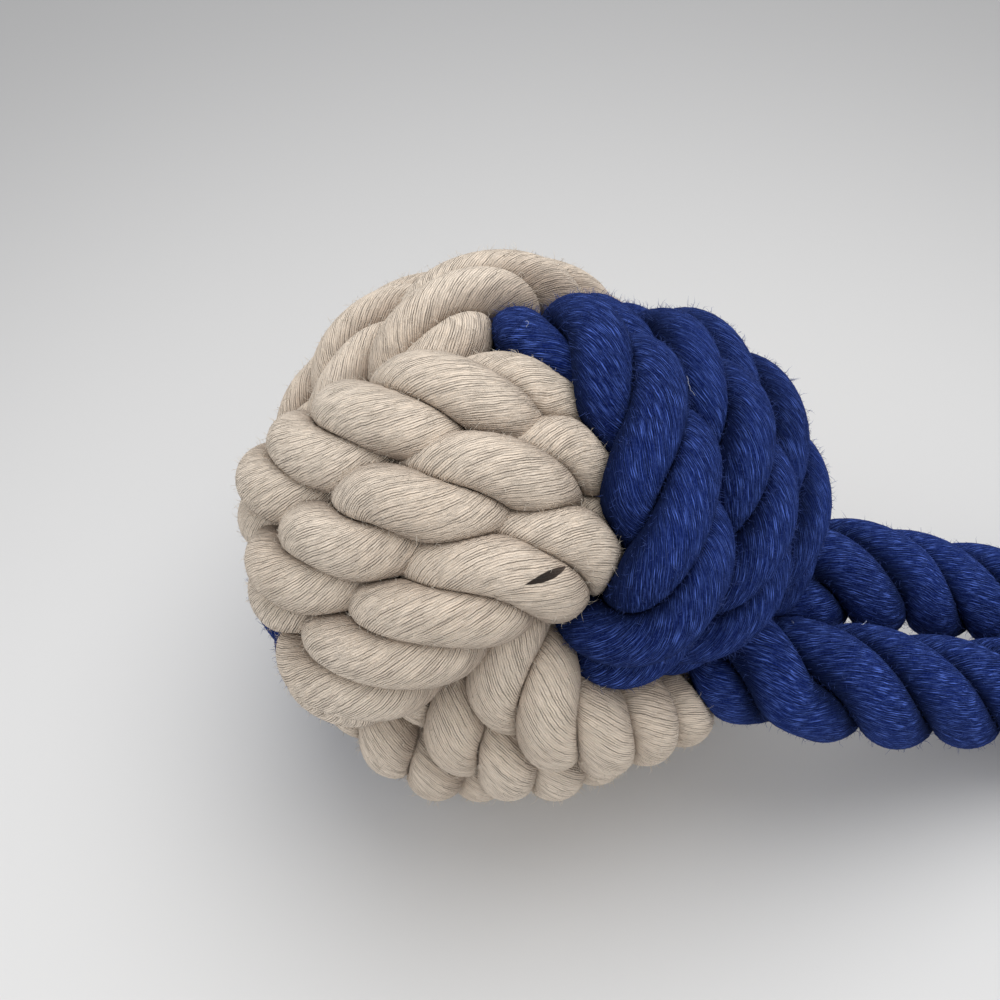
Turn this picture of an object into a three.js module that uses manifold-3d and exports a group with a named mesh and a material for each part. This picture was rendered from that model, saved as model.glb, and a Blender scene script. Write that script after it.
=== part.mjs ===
// Rope dog toy: a ball tied as a monkey's fist, with two free rope tails.
// Three bands of three turns wrap a round core. Each band passes over one neighbour and under the other.
// The tails leave the ball side by side, are bound together by three turns of rope, and end in frayed tassels.
// Millimetres, +Z up. The toy lies on the plane z = 0, and the origin is under the middle of the ball.
import * as THREE from 'three';
import { mergeVertices } from 'three/addons/utils/BufferGeometryUtils.js';
import Module from 'manifold-3d';

const wasm = await Module();
wasm.setup();

// Rope and turns of the ball
const ropeDiameter = 20; // the rope where it lies free
const woundThickness = 11.8; // across the layers of the ball, where the rope is drawn tight
const woundPitch = 12.8; // from one turn to the next where a band passes under its neighbour
const rowGap = 0.9; // left between two turns of one band
const turnsPerBand = 3;
const underSlack = 4.2; // room between the turns nearest the core and the half width of a band
const overSlack = 0.8; // room between a band and the one that it passes over
const seatGap = 0.3; // between two solids that touch
const flatDepth = 1.3; // how far the rope is pressed flat by the table

// How each band swells, fans out and lies off the middle over the face that it covers
const frontSwell = 2.2; // added to the front band's reach over its face
const topSwell = 0.8;
const blueSwell = 0.2;
const frontFacePitch = 15.3; // from one turn to the next at the middle of the face
const topFacePitch = 17.6;
const blueFacePitch = 19;
const frontShift = 3.9; // how far the front band lies off the middle of its face, towards the top axis
const topShift = -8; // the same for the top band, counted towards the right axis
const blueShift = 0.4; // the same for the blue band, counted towards the front axis
const widestRow = 14.6; // no turn is wider than this, however far its band fans out
const outerRowDrop = 0.7; // the outer turns of a band lie this much lower than its middle turn
const squareness = 7.4; // exponent of the rounded outline of a turn
const rounding = 0.47; // how strongly the corners of the ball are drawn in, 0 for not at all

// The ball's own three axes, in degrees: azimuth from +X towards +Y, and elevation above the table
const frontAxis = { azimuth: -137, elevation: 35 };
const rightAxis = { azimuth: -8.6, elevation: 42.7 };
const topAxis = { azimuth: 110.3, elevation: 27.7 };

// On its hidden side each turn moves over by one pitch, to begin the next turn
const crossingHalfLength = 26; // half of the stretch in which it moves over
const endInset = 2; // how far a band's two ends reach into that stretch

// Facets of the wound rope
const stepsPerTurn = 36;
const sidesOfSection = 8;

// Free tails: places that the middle of each rope runs through, from the ball to the end knot
const upperRoute = [
  [50.4, -5.3, 40.3], [60.5, -2.6, 36.8], [67.5, 0.1, 33.2], [77.5, 2.2, 28.6], [87.5, 3.4, 24.4],
  [97.4, 4, 20.3], [107.2, 4.3, 16.6], [117, 4.4, 13.4], [127, 4.3, 11.4], [137, 4, 11.1],
  [147, 3.7, 12], [157, 3.5, 14.2], [166, 3.4, 17.6], [174, 3.35, 20.6],
];
const lowerRoute = [
  [42.7, -25.5, 39.5], [49.5, -25.7, 38.6], [56, -24.9, 36], [65.5, -22.9, 31.9], [75.5, -20.1, 27.5],
  [85.5, -17.7, 23.3], [95.4, -16.9, 19.3], [105.3, -16.6, 15.7], [116, -16.5, 12.6], [127, -16.7, 11.2],
  [137, -17, 11.1], [147, -17.1, 12], [157, -17, 14.2], [166, -17, 17.6], [174, -16.95, 20.6],
];
const tailSteps = 30;
const tailSides = 10;

// End knot: turns of rope round both tails
const knotPlaceX = 192; // where the first of its turns begins
const knotMiddleY = -6.8;
const knotRope = 13; // thickness of the rope in the knot
const knotRowGap = 0.6;
const knotTurns = 3;
const knotSteps = 26;
const tailLeadIn = 10; // how far the tails run straight before the first turn
const tailLeadOut = 8; // how far they run past the last turn

// Tassels: the frayed ends of the tails
const tasselLength = 52;
const tasselTie = 19; // diameter where it leaves its tail
const tasselMouth = 30; // greatest diameter, near the loose end
const tasselBlunt = 21; // diameter of the blunt loose end
const tasselMouthShare = 0.8; // place of the greatest diameter along the tassel
const tasselSplay = 7.5; // degrees that each one turns away from the other
const tasselSides = 20;

// Facets of the core
const coreSides = 20;
const coreRings = 12;

const degree = Math.PI / 180;
const loop = 2 * Math.PI;

const direction = ({ azimuth, elevation }) => new THREE.Vector3(
  Math.cos(elevation * degree) * Math.cos(azimuth * degree),
  Math.cos(elevation * degree) * Math.sin(azimuth * degree),
  Math.sin(elevation * degree),
);

const axes = { front: direction(frontAxis), right: direction(rightAxis), top: direction(topAxis) };

// Reach of a band's middle line from the centre of the ball, under its neighbour and over the other one
const bandHalfWidth = (turnsPerBand * woundPitch) / 2;
const underReach = bandHalfWidth + woundThickness / 2 + underSlack;
const overReach = underReach + woundThickness + overSlack;

// A band runs in the plane of its over and under axes, and its turns are set out along the third axis
const bandForms = {
  front: { over: axes.front, under: axes.right, along: axes.top,
    swell: frontSwell, facePitch: frontFacePitch, shift: frontShift },
  top: { over: axes.top, under: axes.front, along: axes.right,
    swell: topSwell, facePitch: topFacePitch, shift: topShift },
  blue: { over: axes.right, under: axes.top, along: axes.front,
    swell: blueSwell, facePitch: blueFacePitch, shift: blueShift },
};

const easeStep = (share) => (1 - Math.cos(Math.PI * Math.min(1, Math.max(0, share)))) / 2;

// The middle line of a band after a number of turns, counted from the middle of its hidden side.
// The outline is a superellipse in polar form. A turn keeps its row except on the hidden side, where it eases
// over to the next one. Last, the whole ball is rounded: corners are drawn in by the ratio of two norms.
function bandPoint(form, turns) {
  const angle = loop * (turns + 3 / 4);
  const cosine = Math.cos(angle);
  const sine = Math.sin(angle);
  const outline = (reach) => (
    Math.abs(cosine / reach) ** squareness + Math.abs(sine / underReach) ** squareness
  ) ** (-1 / squareness);
  const faceReach = overReach + form.swell;
  const acrossHidden = outline(faceReach) * cosine;
  const eased = easeStep((acrossHidden + crossingHalfLength) / (2 * crossingHalfLength));
  const rowsDone = sine < 0 ? Math.round(turns) - 1 + eased : Math.floor(turns);
  const row = rowsDone - (turnsPerBand - 1) / 2;
  const radius = outline(faceReach - outerRowDrop * Math.min(1, row * row));
  const faceShare = (radius * cosine / faceReach) ** 2;
  const pitch = woundPitch + (form.facePitch - woundPitch) * faceShare;
  const parts = [radius * cosine, radius * sine, row * pitch + form.shift * faceShare];
  const norm = (power) => parts.reduce((sum, part) => sum + Math.abs(part) ** power, 0) ** (1 / power);
  const drawnIn = (norm(4) / norm(2)) ** rounding;
  const point = new THREE.Vector3()
    .addScaledVector(form.over, parts[0] * drawnIn)
    .addScaledVector(form.under, parts[1] * drawnIn)
    .addScaledVector(form.along, parts[2] * drawnIn);
  return { point, pitch: pitch * drawnIn };
}

// Rings of a rope along a path: each station has its middle, its sideways and outward directions and half sizes
function stationsAlong(pathPoint, from, to, count, sideways, thickness, gap, widest) {
  const nudge = 1e-4 * (to - from);
  return Array.from({ length: count + 1 }, (_, step) => {
    const place = from + ((to - from) * step) / count;
    const { point, pitch } = pathPoint(place);
    const tangent = pathPoint(place + nudge).point.sub(pathPoint(place - nudge).point).normalize();
    const leaning = sideways.dot(tangent);
    const side = sideways.clone().addScaledVector(tangent, -leaning).normalize();
    const width = Math.min(widest, pitch * Math.sqrt(1 - leaning * leaning) - gap);
    return { middle: point, side, out: side.clone().cross(tangent), halfWidth: width / 2,
      halfHeight: thickness / 2 };
  });
}

// A closed tube with an oval section through the stations
function tubeOf(stations, sides) {
  const positions = [];
  for (const { middle, side, out, halfWidth, halfHeight } of stations) {
    for (let corner = 0; corner < sides; corner += 1) {
      const turn = (loop * (corner + 1 / 2)) / sides;
      const rim = middle.clone()
        .addScaledVector(side, halfWidth * Math.cos(turn))
        .addScaledVector(out, halfHeight * Math.sin(turn));
      positions.push(...rim);
    }
  }
  positions.push(...stations[0].middle, ...stations.at(-1).middle);
  const indices = [];
  const rings = stations.length;
  for (let corner = 0; corner < sides; corner += 1) {
    const next = (corner + 1) % sides;
    for (let ring = 0; ring < rings - 1; ring += 1) {
      const low = ring * sides;
      const high = low + sides;
      indices.push(low + corner, high + next, low + next, low + corner, high + corner, high + next);
    }
    const lastRing = (rings - 1) * sides;
    indices.push(rings * sides, corner, next, rings * sides + 1, lastRing + next, lastRing + corner);
  }
  const geometry = new THREE.BufferGeometry();
  geometry.setAttribute('position', new THREE.Float32BufferAttribute(positions, 3));
  geometry.setIndex(indices);
  return geometry;
}

// Half size of an oval section in a given direction
const reachOf = ({ side, out, halfWidth, halfHeight }, way) => (
  Math.hypot(halfWidth * way.dot(side), halfHeight * way.dot(out))
);

// Least gap between two ropes, or of one rope to itself, taken on the stations and their oval sections
function leastGap(first, second, apart = 0) {
  let least = Infinity;
  first.forEach((one, place) => second.forEach((other, otherPlace) => {
    if (otherPlace - place < apart) return;
    const way = other.middle.clone().sub(one.middle);
    const distance = way.length();
    way.normalize();
    least = Math.min(least, distance - reachOf(one, way) - reachOf(other, way));
  }));
  return least;
}

function solidOf(geometry) {
  const bare = geometry.index ? geometry.clone() : mergeVertices(geometry.clone());
  bare.deleteAttribute('normal');
  bare.deleteAttribute('uv');
  const merged = mergeVertices(bare);
  return new wasm.Manifold(new wasm.Mesh({
    numProp: 3,
    vertProperties: new Float32Array(merged.attributes.position.array),
    triVerts: new Uint32Array(merged.index.array),
  }));
}

function geometryOf(solid) {
  const { vertProperties, triVerts } = solid.getMesh();
  const geometry = new THREE.BufferGeometry();
  geometry.setAttribute('position', new THREE.Float32BufferAttribute(vertProperties, 3));
  geometry.setIndex([...triVerts]);
  return geometry;
}

// The geometry without what lies below a level
function cutFlat(geometry, level) {
  geometry.computeBoundingBox();
  const size = geometry.boundingBox.getSize(new THREE.Vector3()).length();
  const middle = geometry.boundingBox.getCenter(new THREE.Vector3());
  const below = new THREE.BoxGeometry(2 * size, 2 * size, 2 * size)
    .translate(middle.x, middle.y, level - size);
  return geometryOf(solidOf(geometry).subtract(solidOf(below)));
}

const rope = (color) => new THREE.MeshStandardMaterial({ color, roughness: 0.95, metalness: 0 });
const cream = () => rope(0xd9cfbf);
const blue = () => rope(0x1c2f7e);

function named(name, geometry, material) {
  const flatShaded = geometry.index ? geometry.toNonIndexed() : geometry;
  flatShaded.computeVertexNormals();
  const mesh = new THREE.Mesh(flatShaded, material);
  mesh.name = name;
  return mesh;
}

const toy = new THREE.Group();

// The ball, round its own centre
const endTurn = Math.atan((crossingHalfLength - endInset) / underReach) / loop;
const bandStations = Object.fromEntries(Object.entries(bandForms).map(([name, form]) => [
  name,
  stationsAlong((turns) => bandPoint(form, turns), endTurn, turnsPerBand - endTurn, turnsPerBand * stepsPerTurn,
    form.along, woundThickness, rowGap, widestRow),
]));
const bandTubes = Object.fromEntries(
  Object.entries(bandStations).map(([name, stations]) => [name, tubeOf(stations, sidesOfSection)]),
);
const ballBox = new THREE.Box3();
for (const tube of Object.values(bandTubes)) {
  tube.computeBoundingBox();
  ballBox.union(tube.boundingBox);
}
const ballBase = ballBox.min.z + flatDepth;
const ballMiddle = ballBox.getCenter(new THREE.Vector3());

const ball = new THREE.Group();
ball.position.set(-ballMiddle.x, -ballMiddle.y, -ballBase);
toy.add(ball);

ball.add(named('front_band', cutFlat(bandTubes.front, ballBase), cream()));
ball.add(named('top_band', cutFlat(bandTubes.top, ballBase), cream()));
ball.add(named('blue_band', cutFlat(bandTubes.blue, ballBase), blue()));

const coreRadius = Math.min(...Object.values(bandStations).flat().map((station) => (
  station.middle.length() - reachOf(station, station.middle.clone().normalize())
))) - seatGap;
ball.add(named('core_ball', new THREE.SphereGeometry(coreRadius, coreSides, coreRings), rope(0x6b5b4a)));

// Free tails: round ropes on smooth curves through their hand-chosen places, straight through the end knot
const tailHalfSpacing = (ropeDiameter + seatGap) / 2;
const knotCorner = ropeDiameter / 2 + seatGap + knotRope / 2;
const knotHeight = knotCorner + knotRope / 2 - flatDepth;
const knotPitch = knotRope + knotRowGap;
const knotEndX = knotPlaceX + knotTurns * knotPitch + knotRope / 2;
const tailEndX = knotEndX + tailLeadOut;

const tailCurve = (route, side) => new THREE.CatmullRomCurve3([
  ...route.map((place) => new THREE.Vector3(...place)),
  new THREE.Vector3(knotPlaceX - tailLeadIn, knotMiddleY + side * tailHalfSpacing, knotHeight),
  new THREE.Vector3((knotPlaceX + knotEndX) / 2, knotMiddleY + side * tailHalfSpacing, knotHeight),
  new THREE.Vector3(tailEndX, knotMiddleY + side * tailHalfSpacing, knotHeight),
], false, 'centripetal');

function roundSection(radius, sides) {
  const corners = Array.from({ length: sides }, (_, corner) => {
    const turn = (loop * (corner + 1 / 2)) / sides;
    return new THREE.Vector2(radius * Math.cos(turn), radius * Math.sin(turn));
  });
  return new THREE.Shape(corners);
}

const tails = { tail_upper: tailCurve(upperRoute, 1), tail_lower: tailCurve(lowerRoute, -1) };
for (const [name, curve] of Object.entries(tails)) {
  const tube = new THREE.ExtrudeGeometry(
    roundSection(ropeDiameter / 2, tailSides),
    { steps: tailSteps, extrudePath: curve },
  );
  toy.add(named(name, tube, blue()));
}

// End knot: the rope's middle line climbs steadily along the tails while it goes round both of them, on an
// outline of two half circles and two straights. It begins and ends on the straight below.
const knotRound = loop * knotCorner + 4 * tailHalfSpacing;

function knotPoint(travel) {
  const lap = ((travel % knotRound) + knotRound) % knotRound;
  const arc = Math.PI * knotCorner;
  const straight = 2 * tailHalfSpacing;
  const place = new THREE.Vector3((travel * knotPitch) / knotRound, 0, 0);
  if (lap < straight) {
    place.y = lap - tailHalfSpacing;
    place.z = -knotCorner;
  } else if (lap < straight + arc) {
    const turn = (lap - straight) / knotCorner;
    place.y = tailHalfSpacing + knotCorner * Math.sin(turn);
    place.z = -knotCorner * Math.cos(turn);
  } else if (lap < 2 * straight + arc) {
    place.y = tailHalfSpacing - (lap - straight - arc);
    place.z = knotCorner;
  } else {
    const turn = (lap - 2 * straight - arc) / knotCorner;
    place.y = -tailHalfSpacing - knotCorner * Math.sin(turn);
    place.z = knotCorner * Math.cos(turn);
  }
  return { point: place, pitch: knotPitch };
}

const knotStations = stationsAlong(knotPoint, 0, knotTurns * knotRound + 2 * tailHalfSpacing,
  knotTurns * knotSteps, new THREE.Vector3(1, 0, 0), knotRope, knotRowGap, knotRope);
const endKnot = named('end_knot', cutFlat(tubeOf(knotStations, sidesOfSection), -knotHeight), blue());
endKnot.position.set(knotPlaceX, knotMiddleY, knotHeight);
toy.add(endKnot);

// Tassels: turned solids that droop from the tails' ends until their widest place nears the table
const tasselDroop = Math.asin(
  (knotHeight - tasselMouth / 2 - seatGap) / (tasselLength * tasselMouthShare),
);
const tasselLean = Math.acos(Math.cos(tasselDroop) * Math.cos(tasselSplay * degree));
const tasselSeat = seatGap + (tasselTie / 2) * Math.sin(tasselLean);
const tasselProfile = [
  new THREE.Vector2(0, 0),
  new THREE.Vector2(tasselTie / 2, 0),
  new THREE.Vector2((tasselTie + tasselMouth) / 4, tasselLength * tasselMouthShare / 2),
  new THREE.Vector2(tasselMouth / 2, tasselLength * tasselMouthShare),
  new THREE.Vector2(tasselBlunt / 2, tasselLength),
  new THREE.Vector2(0, tasselLength),
];
for (const [name, side] of [['tassel_upper', 1], ['tassel_lower', -1]]) {
  const tassel = named(name, new THREE.LatheGeometry(tasselProfile, tasselSides), blue());
  tassel.rotation.set(0, 0, -Math.PI / 2);
  const hinge = new THREE.Group();
  hinge.rotation.set(0, tasselDroop, side * tasselSplay * degree, 'ZYX');
  hinge.position.set(tailEndX + tasselSeat, knotMiddleY + side * tailHalfSpacing, knotHeight);
  hinge.add(tassel);
  toy.add(hinge);
}

// Measured clearances and lengths
const halfTurn = Math.round(stepsPerTurn / 2);
for (const [name, stations] of Object.entries({ ...bandStations, knot: knotStations })) {
  console.log(`${name}: least gap to itself ${leastGap(stations, stations, halfTurn).toFixed(2)} mm`);
}
for (const [one, other] of [['front', 'top'], ['top', 'blue'], ['blue', 'front']]) {
  console.log(`${one} to ${other}: ${leastGap(bandStations[one], bandStations[other]).toFixed(2)} mm`);
}
const lengthOf = (stations) => stations.slice(1).reduce(
  (sum, station, place) => sum + station.middle.distanceTo(stations[place].middle), 0,
);
for (const [name, stations] of Object.entries({ ...bandStations, knot: knotStations })) {
  console.log(`${name}: ${lengthOf(stations).toFixed(0)} mm of rope`);
}
for (const [name, curve] of Object.entries(tails)) {
  console.log(`${name}: ${curve.getLength().toFixed(0)} mm long`);
}
console.log(`core ${(2 * coreRadius).toFixed(1)} mm across, ball ${ballBox.getSize(new THREE.Vector3()).toArray()
  .map((side) => side.toFixed(1)).join(' x ')} mm`);

export default toy;
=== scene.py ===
import bpy
import numpy as np
from mathutils import Matrix


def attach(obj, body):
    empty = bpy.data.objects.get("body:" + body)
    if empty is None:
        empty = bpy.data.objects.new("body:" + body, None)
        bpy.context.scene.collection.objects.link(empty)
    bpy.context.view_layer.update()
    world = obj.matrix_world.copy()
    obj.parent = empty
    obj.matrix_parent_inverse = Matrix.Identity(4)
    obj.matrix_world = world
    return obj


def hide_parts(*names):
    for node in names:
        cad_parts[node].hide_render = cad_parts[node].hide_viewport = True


# Rope dog toy. Lengths are millimetres here, and become metres when a mesh is made.
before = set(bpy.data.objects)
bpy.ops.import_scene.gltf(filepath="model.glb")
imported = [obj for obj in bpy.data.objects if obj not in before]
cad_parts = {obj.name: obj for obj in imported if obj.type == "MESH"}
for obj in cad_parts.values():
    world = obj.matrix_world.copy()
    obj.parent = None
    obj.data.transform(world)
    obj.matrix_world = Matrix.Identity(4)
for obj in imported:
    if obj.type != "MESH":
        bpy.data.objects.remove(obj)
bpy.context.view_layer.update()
rng = np.random.default_rng(7)
mm = 0.001
fullTurn = 2 * np.pi
slantwise = np.array([0.31, 0.87, 0.39])  # a direction that hardly any fibre runs in


def unit(vectors):
    # Each vector divided by its own length
    return vectors / np.linalg.norm(vectors, axis=-1, keepdims=True)


def smooth(x):
    # A step from 0 to 1 that starts and ends gently: 3x squared less 2x cubed
    x = np.clip(x, 0, 1)
    return x * x * (3 - 2 * x)


def fromAngles(azimuth, elevation):
    # The direction at an azimuth from +X towards +Y and an elevation above the table, in degrees
    a, e = np.radians(azimuth), np.radians(elevation)
    return np.array([np.cos(e) * np.cos(a), np.cos(e) * np.sin(a), np.sin(e)])


def squareTo(vectors, directions):
    # What is left of each vector without its part along a unit direction
    return vectors - directions * (vectors * directions).sum(1, keepdims=True)


def spokes(first, second, angle):
    # Directions round a line: the angle's cosine times the first direction plus its sine times the second
    return np.cos(angle)[:, None] * first[..., None, :] + np.sin(angle)[:, None] * second[..., None, :]


def addObject(name, data):
    # A new object for a mesh, a camera or a light, put into the scene
    thing = bpy.data.objects.new(name, data)
    bpy.context.scene.collection.objects.link(thing)
    return thing


def placeAt(thing, axes, place):
    # Turns an object to the given axes, one in each column, and moves it to a place in metres
    matrix = np.eye(4)
    matrix[:3, :3] = axes
    matrix[:3, 3] = place
    thing.matrix_world = Matrix(matrix.tolist())


# Camera: it looks down at the ball from in front of it
cameraView = {"elevation": 55, "focalPixels": 1930, "framePixels": 1000, "sensorWidth": 36,
              "nearest": 0.01, "farthest": 20,
              "ballCentre": (0.5, -1.4, 49.1), "ballInView": (4.9, -4.1, -331.7)}


def makeCamera(view):
    # The camera stands where the ball's centre has its given place in the camera's own axes
    tilt = np.radians(view["elevation"])
    right = np.array([1.0, 0, 0])
    up = np.array([0, np.sin(tilt), np.cos(tilt)])
    back = np.array([0, -np.cos(tilt), np.sin(tilt)])
    axes = np.stack([right, up, back], 1)
    place = np.array(view["ballCentre"]) - axes @ np.array(view["ballInView"])
    data = bpy.data.cameras.new("camera")
    data.sensor_width = view["sensorWidth"]
    data.lens = data.sensor_width * view["focalPixels"] / view["framePixels"]
    data.clip_start = view["nearest"]
    data.clip_end = view["farthest"]
    camera = addObject("camera", data)
    placeAt(camera, axes, place * mm)
    bpy.context.scene.camera = camera


makeCamera(cameraView)
print("camera placed")


# Ropes: a rope is three strands laid right-handed round its middle line. The yarns wind round each strand
# the other way, so that they run nearly along the rope
freeRope = {"diameter": 20, "strandRadius": 5.45, "strandCentre": 4.5, "step": 0.8, "around": 28,
            "yarns": 72, "yarnLay": 21.5, "flatness": 1.0}
foldedRope = dict(freeRope, strandRadius=5.4, flatness=0.78)
blueRope = dict(freeRope, strandRadius=4.9, strandCentre=4.8, flatness=0.92)
bindingRope = dict(freeRope, lay=24, strandRadius=3.5, strandCentre=3.3, around=20, yarns=46, yarnLay=15)
strandsInRope = 3


def lengthAlong(points):
    # The length of the line up to each point: the sum of the steps before it
    return np.concatenate([[0], np.cumsum(np.linalg.norm(np.diff(points, axis=0), axis=1))])


def tangents(points):
    # The direction of the line at each point, from its neighbours on both sides
    return unit(np.gradient(points, axis=0))


def between(places, known, values):
    # Columns of values that are known at some places, at other places by straight interpolation
    return np.stack([np.interp(places, known, column) for column in values.T], 1)


def resample(points, step):
    # The same line with its points a step apart, by straight interpolation along its length
    along = lengthAlong(points)
    count = max(4, int(round(along[-1] / step)))
    even = np.linspace(0, along[-1], count + 1)
    return between(even, along, points), even


def evenOut(points, width):
    # A moving average along the line with a bell-shaped weight, its ends held
    padded = np.concatenate([np.repeat(points[:1], width, 0), points, np.repeat(points[-1:], width, 0)])
    kernel = np.hanning(2 * width + 3)[1:-1]
    kernel /= kernel.sum()
    return np.stack([np.convolve(column, kernel, "valid") for column in padded.T], 1)


def catmull(points, count):
    # A smooth curve through given points, by cubic pieces whose slopes are half the neighbours' span
    p = np.asarray(points, float)
    p = np.concatenate([[2 * p[0] - p[1]], p, [2 * p[-1] - p[-2]]])
    u = np.linspace(0, len(p) - 3 - 1e-9, count)  # a hair short of the end, so that the last piece is found
    i = u.astype(int)
    f = (u - i)[:, None]
    a, b, c, d = p[i], p[i + 1], p[i + 2], p[i + 3]
    slope, square, cube = c - a, 2 * a - 5 * b + 4 * c - d, 3 * b - a - 3 * c + d
    return 0.5 * (2 * b + slope * f + square * f ** 2 + cube * f ** 3)


strands = []


def addStrands(piece, points, outward, rope, phase):
    # Middle lines of three strands laid right-handed round a rope's middle line. Phase counts strand crowns,
    # three to a full turn: a crown is where a strand lies on the rope's outward side. The circle that the
    # strands lie on is flattened on that side
    tangent = tangents(points)
    out = unit(squareTo(outward, tangent))
    side = np.cross(tangent, out)
    for strand in range(strandsInRope):
        angle = (fullTurn * (phase - strand) / strandsInRope)[:, None]
        radial = np.cos(angle) * out * rope["flatness"] + np.sin(angle) * side
        line = points + rope["strandCentre"] * radial
        even, along = resample(line, rope["step"])
        turned = between(along, lengthAlong(line), radial)
        strands.append({"piece": piece, "points": even, "along": along, "radial": turned, "rope": rope})


# The ball: three bands of three turns, each over one neighbour and under the other. Reaches are from the
# ball's middle to the rope's middle line. Crowns, nudges and sinks are given for each turn, at lengths along
# the rope from the middle of the face that it covers
frontAxis = fromAngles(-137.3, 34.9)
rightAxis = fromAngles(-8.1, 42.2)
topAxis = fromAngles(110.9, 28.1)
ballMiddle = np.array([1.5, -1.3, 49.3])
bands = {
    "frontBand": {
        "over": frontAxis, "under": rightAxis, "along": topAxis,
        "overReach": 50.9, "underReach": 33.4, "farReach": 50.9, "pitch": 13.5, "shift": 4.5,
        "rope": foldedRope, "crownStep": 12.4,
        "crowns": {0: (-15, -0.9, 10.1, 20.5, 32), 1: (-12, 0.6, 12.8, 24.6, 37), 2: (-2.4, 8.4, 21.5, 37)},
        "nudges": {0: ((-15, -3), (0, -1), (10, 2.4), (20, 6), (32, 5)),
                   1: ((-12, 0.5), (8, 1.4), (24, 0.8), (35, 0)),
                   2: ((-4, -4), (8, -2.8), (20, -3.8), (32, -7))},
        "sinks": {0: ((-48, 1.6), (-32, 1.6), (-16, 0)),
                  1: ((-48, 1.8), (-32, 1.8), (-16, 0), (42, 0), (56, 2), (74, 2), (88, 0)),
                  2: ((-48, 1.2), (-32, 1.2), (-16, 0), (42, 0), (56, 4), (74, 4), (88, 1))}},
    "topBand": {
        "over": topAxis, "under": frontAxis, "along": rightAxis,
        "overReach": 44.8, "underReach": 35.2, "farReach": 43.8, "pitch": 17.7, "shift": -8.6,
        "rope": foldedRope, "crownStep": 10.8,
        "crowns": {2: (-7.8, 7, 22), 1: (-6, 6.6, 19)},
        "nudges": {},
        "sinks": {0: ((-10, 0), (4, 1.5), (18, 3.6), (32, 2.5)), 2: ((-32, 3), (-15, 2.5), (0, 0.5))}},
    "blueBand": {
        "over": rightAxis, "under": topAxis, "along": frontAxis,
        "overReach": 48.4, "underReach": 29.2, "farReach": 47.6, "pitch": 19.6, "shift": 1.5,
        "rope": blueRope, "crownStep": 12.4,
        "crowns": {0: (-11, 3, 18), 1: (-24, -11.5, 0, 14.1, 27.5), 2: (-34, -20.5, -7, 4.9, 16.4, 29.4)},
        "nudges": {2: ((-34, 0), (-7, -0.5), (5, -1.5), (18, -2), (30, -2))},
        "sinks": {0: ((-12, 1.2), (5, 2.4), (20, 4), (34, 3.5)),
                  1: ((-12, 0.8), (5, 1.4), (20, 3), (34, 2.5)),
                  2: ((0, 0), (20, 1), (34, 1))}},
}
ballShape = {"turns": 3, "corner": 30.2, "cornerRoom": 1, "outlineCorners": 720, "outlineStep": 0.5,
             "bulge": -7.4, "middleRise": 1.0, "bowShare": 0.5, "underDip": 3.0, "dipShare": 0.6,
             "roundness": 0.64, "roundPower": 4, "crossing": 26, "endInset": 4,
             "nudgeFade": 30, "sinkFade": 20, "pathEven": 8, "phaseEven": 12}


def turnOutline(form, shape):
    # One turn in the plane of its over and under directions: a rectangle with round corners, from the middle
    # of its hidden side on. Away from its own face it reaches out to the far reach
    reach, width = form["overReach"], form["underReach"]
    corner = min(shape["corner"], width - shape["cornerRoom"])
    turn = np.linspace(-np.pi / 2, 3 * np.pi / 2, shape["outlineCorners"], endpoint=False)
    over = (reach - corner) * np.sign(np.cos(turn)) + corner * np.cos(turn)
    under = (width - corner) * np.sign(np.sin(turn)) + corner * np.sin(turn)
    over[0] = 0
    outline = np.stack([over, under, 0 * over], 1)
    outline = resample(np.concatenate([outline, outline[:1]]), shape["outlineStep"])[0][:-1]
    outline[outline[:, 0] < 0, 0] *= form["farReach"] / reach
    return outline


def offsetsAt(pairs, near, fade):
    # Offsets given at places along the rope, joined by straight lines, which fade out beyond the last ones
    place, offset = np.array(pairs, float).T
    return np.interp(near, [place[0] - fade, *place, place[-1] + fade], [0, *offset, 0])


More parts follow.
